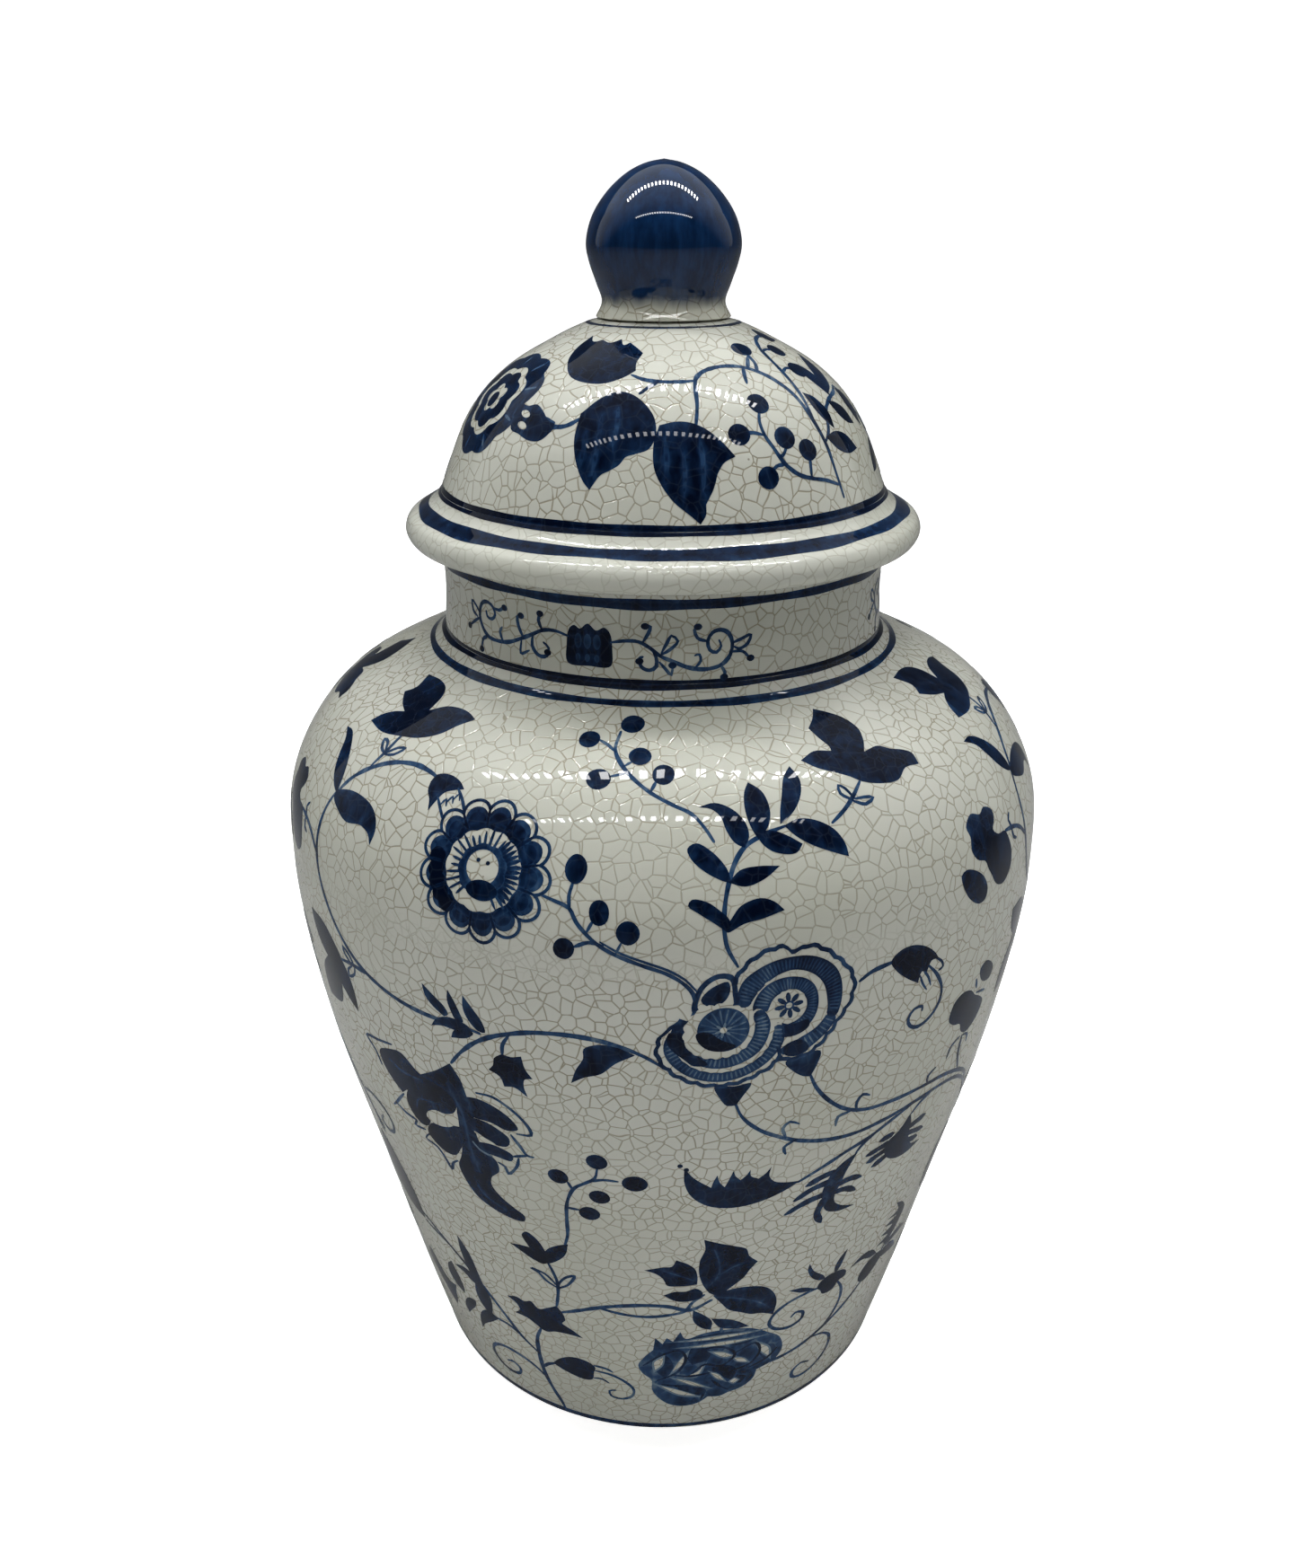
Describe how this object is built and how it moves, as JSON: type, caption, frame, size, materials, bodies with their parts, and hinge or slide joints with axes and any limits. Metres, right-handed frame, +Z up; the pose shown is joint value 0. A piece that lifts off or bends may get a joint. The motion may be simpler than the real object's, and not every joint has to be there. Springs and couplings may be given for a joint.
{
  "type": "ginger jar",
  "caption": "High-shouldered stoneware jar with a short neck and a domed lid; the lid lifts straight off by its bud knob and a ring under it seats in the neck.",
  "frame": {"origin": "centre of the foot ring, on the surface the jar stands on", "axes": "+Z up along the jar's axis; the front of the painted decoration faces -Y"},
  "size_m": [0.188, 0.188, 0.306],
  "materials": {
    "crackle_glaze": "glossy warm grey-white glaze with fine tan crackle",
    "cobalt_glaze": "glossy deep cobalt blue under clear glaze"
  },
  "bodies": {
    "jar": {"jar_body": "crackle_glaze"},
    "lid": {"lid_dome": "crackle_glaze", "lid_locating_ring": "crackle_glaze", "lid_knob": "cobalt_glaze"}
  },
  "joints": [
    {"name": "lid_lift", "type": "slide", "parent": "jar", "child": "lid", "axis": [0, 0, 1], "range_m": [0, 0.12]}
  ]
}
